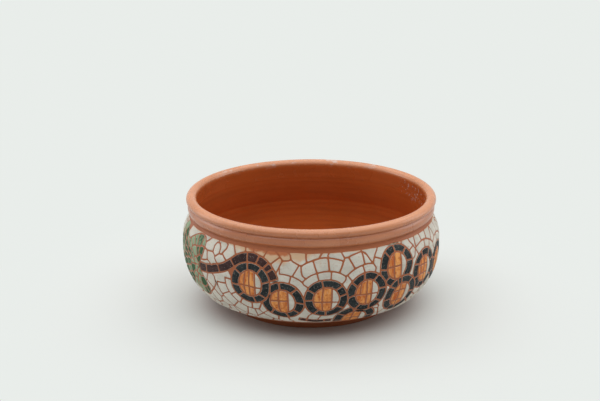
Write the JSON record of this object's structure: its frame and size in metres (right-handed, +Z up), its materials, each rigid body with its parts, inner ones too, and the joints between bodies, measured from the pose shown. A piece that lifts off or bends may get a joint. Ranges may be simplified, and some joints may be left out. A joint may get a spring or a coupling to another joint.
{
  "type": "pottery bowl",
  "caption": "Thrown terracotta bowl with a rolled lip, a round belly and a turned foot; the belly wears white slip painted with a vine and grapes as scored mosaic.",
  "frame": {"origin": "on the surface that the bowl stands on, at the middle of the foot ring", "axes": "+Z up along the bowl's axis of turning; the side shown in the picture faces -Y; +X is to the viewer's right"},
  "size_m": [0.1406, 0.1406, 0.062],
  "materials": {
    "terracotta": "bare fired clay, smooth and slightly satin on the lip, with faint throwing rings inside",
    "white_slip": "matt warm white engobe with a fine grain, scored through to the clay",
    "black_paint": "matt blue black colour, brushed on, with pale edges",
    "amber_paint": "brushed amber colour with darker brown strokes",
    "brown_paint": "matt maroon brown colour",
    "green_paint": "watery green colour, pale to dark"
  },
  "bodies": {
    "root": {"clay_body": "terracotta", "slip_coat": "white_slip", "front_grape_ring_1": "black_paint", "front_grape_ring_2": "black_paint", "front_grape_ring_3": "black_paint", "front_grape_ring_4": "black_paint", "front_grape_ring_5": "black_paint", "front_grape_ring_6": "black_paint", "front_grape_ring_7_left": "black_paint", "front_grape_ring_7_right": "black_paint", "front_grape_ring_8": "black_paint", "front_grape_ring_9": "black_paint", "front_grape_flesh_1": "amber_paint", "front_grape_flesh_2": "amber_paint", "front_grape_flesh_3": "amber_paint", "front_grape_flesh_4": "amber_paint", "front_grape_flesh_5": "amber_paint", "front_grape_flesh_6": "amber_paint", "front_grape_flesh_7": "amber_paint", "front_grape_flesh_8": "amber_paint", "front_grape_flesh_9": "amber_paint", "front_vine_leaf": "green_paint", "front_vine_stem": "brown_paint", "front_tendril": "brown_paint", "back_grape_ring_1": "black_paint", "back_grape_ring_2": "black_paint", "back_grape_ring_3": "black_paint", "back_grape_ring_4": "black_paint", "back_grape_ring_5": "black_paint", "back_grape_ring_6": "black_paint", "back_grape_ring_7_left": "black_paint", "back_grape_ring_7_right": "black_paint", "back_grape_ring_8": "black_paint", "back_grape_ring_9": "black_paint", "back_grape_flesh_1": "amber_paint", "back_grape_flesh_2": "amber_paint", "back_grape_flesh_3": "amber_paint", "back_grape_flesh_4": "amber_paint", "back_grape_flesh_5": "amber_paint", "back_grape_flesh_6": "amber_paint", "back_grape_flesh_7": "amber_paint", "back_grape_flesh_8": "amber_paint", "back_grape_flesh_9": "amber_paint", "back_vine_leaf": "green_paint", "back_vine_stem": "brown_paint", "back_tendril": "brown_paint"}
  },
  "joints": []
}
